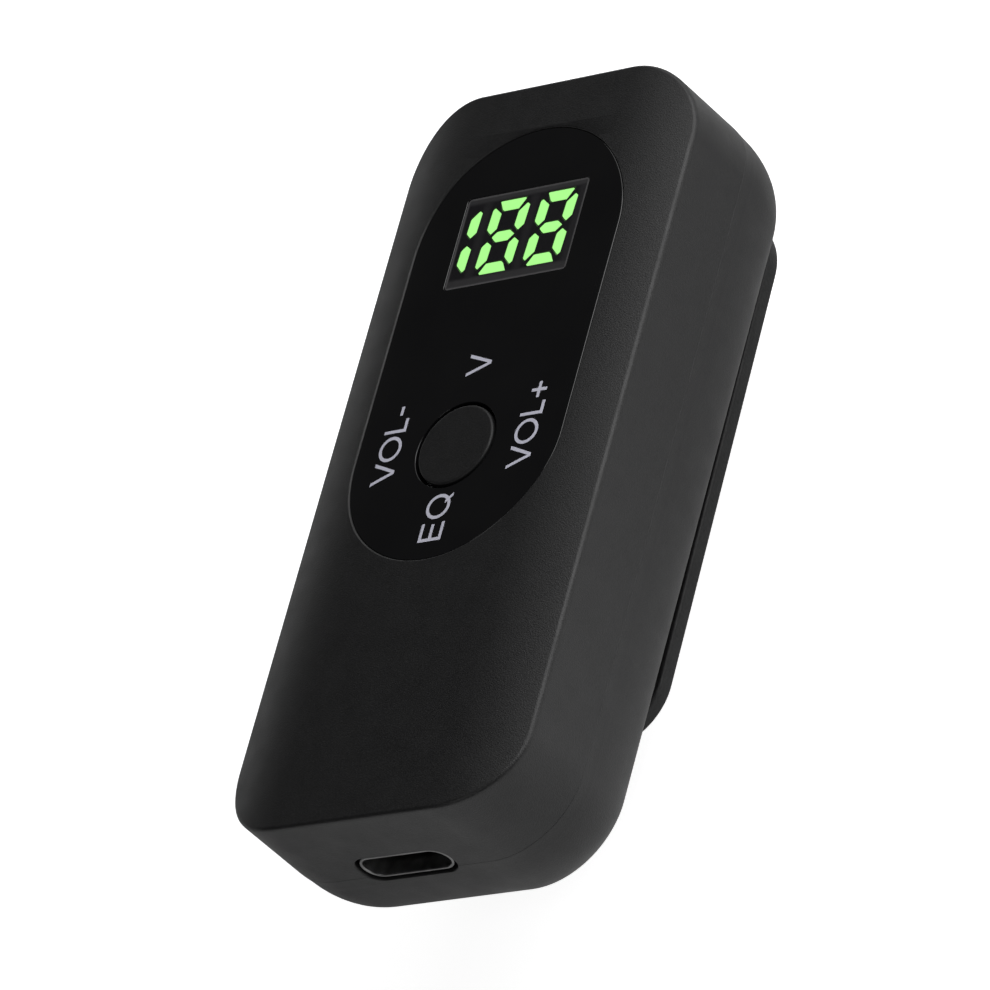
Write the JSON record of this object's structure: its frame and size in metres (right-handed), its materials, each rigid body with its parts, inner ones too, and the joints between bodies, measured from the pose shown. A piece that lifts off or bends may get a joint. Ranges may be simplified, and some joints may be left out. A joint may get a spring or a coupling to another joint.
{
  "type": "clip-on headphone amplifier",
  "caption": "Pocket headphone amplifier with a crowned two-part case, gloss panel with digit display, five-way button, USB-C and audio sockets, and a sprung belt clip.",
  "frame": {"origin": "centre of the outline at the clip's flat outer face, on which the part lies", "axes": "+Z out of the front, +Y along the case towards the audio sockets, +X to the right seen from the front"},
  "size_m": [0.0308, 0.071, 0.0201],
  "materials": {
    "shell": "fine spark-eroded texture",
    "clip": "fine spark-eroded texture",
    "lens": "polished",
    "display": "satin",
    "segments": "lit diffuser",
    "button": "satin",
    "switch": "moulded",
    "steel": "bright",
    "board": "solder mask",
    "chip": "moulded",
    "tantalum": "moulded",
    "ferrite": "sintered",
    "cell": "foil pouch",
    "foam": "foam",
    "lead_red": "insulated",
    "lead_black": "insulated"
  },
  "bodies": {
    "case": {"front_shell": "shell", "rear_shell": "shell", "lens_panel": "lens", "display_housing": "display", "display_guide": "segments", "display_board": "board", "nav_base": "switch", "nav_cover": "steel", "main_board": "board", "control_chip": "chip", "clock_crystal": "steel", "amp_chip": "chip", "charger_chip": "chip", "power_inductor": "ferrite", "output_capacitor_left": "tantalum", "output_capacitor_right": "tantalum", "usb_shell": "steel", "usb_tongue": "chip", "headphone_jack": "chip", "headphone_jack_bush": "steel", "line_in_jack": "chip", "line_in_jack_bush": "steel", "battery_cell": "cell", "battery_foam": "foam", "cell_board": "board", "battery_lead_positive": "lead_red", "battery_lead_negative": "lead_black", "case_screw_1": "steel", "case_screw_2": "steel", "case_screw_3": "steel", "clip_pin": "steel", "clip_spring": "steel"},
    "clip": {"clip_lever": "clip"},
    "rocker": {"nav_rocker": "switch"},
    "carrier": {"nav_carrier": "switch"},
    "button": {"nav_stem": "switch", "button_cap": "button"}
  },
  "joints": [
    {"name": "clip_hinge", "type": "hinge", "parent": "case", "child": "clip", "pos_m": [0, 0.019, 0.00292], "axis": [1, 0, 0], "range_deg": [0, 9], "stiffness_Nm_per_rad": 0.25, "springref_deg": -5.73, "deforming": ["clip_spring"]},
    {"name": "button_tilt_up_down", "type": "hinge", "parent": "case", "child": "rocker", "pos_m": [0, -0.0003, 0.01653], "axis": [1, 0, 0], "range_deg": [-3, 3], "stiffness_Nm_per_rad": 0.05},
    {"name": "button_tilt_left_right", "type": "hinge", "parent": "rocker", "child": "carrier", "pos_m": [0, -0.0003, 0.01653], "axis": [0, 1, 0], "range_deg": [-3, 3], "stiffness_Nm_per_rad": 0.05},
    {"name": "button_press", "type": "slide", "parent": "carrier", "child": "button", "axis": [0, 0, -1], "range_m": [0, 0.00025], "stiffness_N_per_m": 6000}
  ]
}
